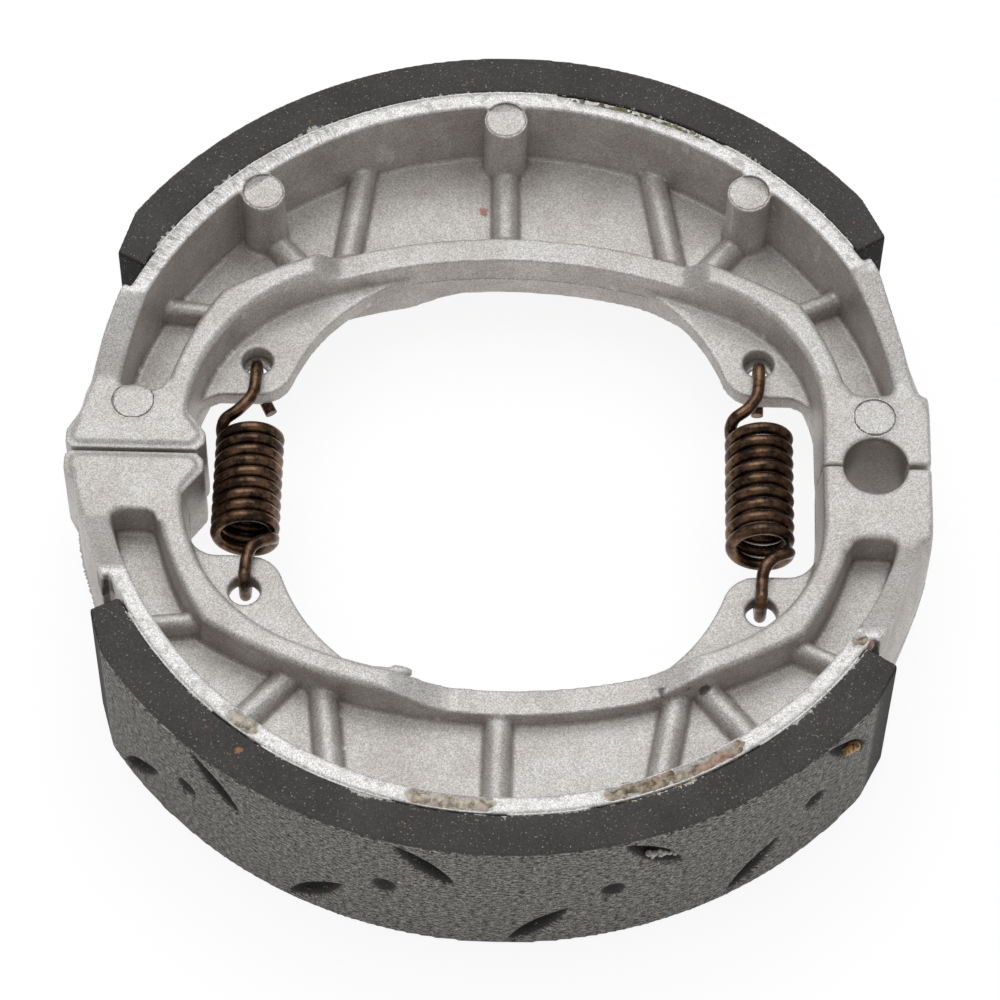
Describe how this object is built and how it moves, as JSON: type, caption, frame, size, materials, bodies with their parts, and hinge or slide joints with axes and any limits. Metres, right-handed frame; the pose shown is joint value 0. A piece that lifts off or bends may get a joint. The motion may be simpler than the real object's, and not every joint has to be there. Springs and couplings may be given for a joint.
{
  "type": "drum brake shoe set",
  "caption": "Set of two die-cast drum brake shoes with bonded linings, held together in a ring by two hooked return springs.",
  "frame": {"origin": "drum axis, at the plane the set rests on", "axes": "+Z along the drum axis, up from the surface the set lies on; +X from the cam end towards the anchor bore; +Y towards the upper shoe"},
  "size_m": [0.1026, 0.11, 0.0224],
  "materials": {
    "cast_aluminium": "matt grit-blasted die casting",
    "friction_lining": "matt moulded lining with light specks",
    "spring_steel": "oiled brown wire"
  },
  "bodies": {
    "upper": {"upper_shoe": "cast_aluminium", "upper_lining": "friction_lining", "cam_side_spring": "spring_steel", "anchor_side_spring": "spring_steel"},
    "lower": {"lower_shoe": "cast_aluminium", "lower_lining": "friction_lining"}
  },
  "joints": [
    {"name": "shoe_spread", "type": "hinge", "parent": "upper", "child": "lower", "pos_m": [0.0436, 0, 0.0112], "axis": [0, 0, 1], "range_deg": [0, 3], "stiffness_Nm_per_rad": 20, "springref_deg": -2.86, "deforming": ["cam_side_spring", "anchor_side_spring"]}
  ]
}
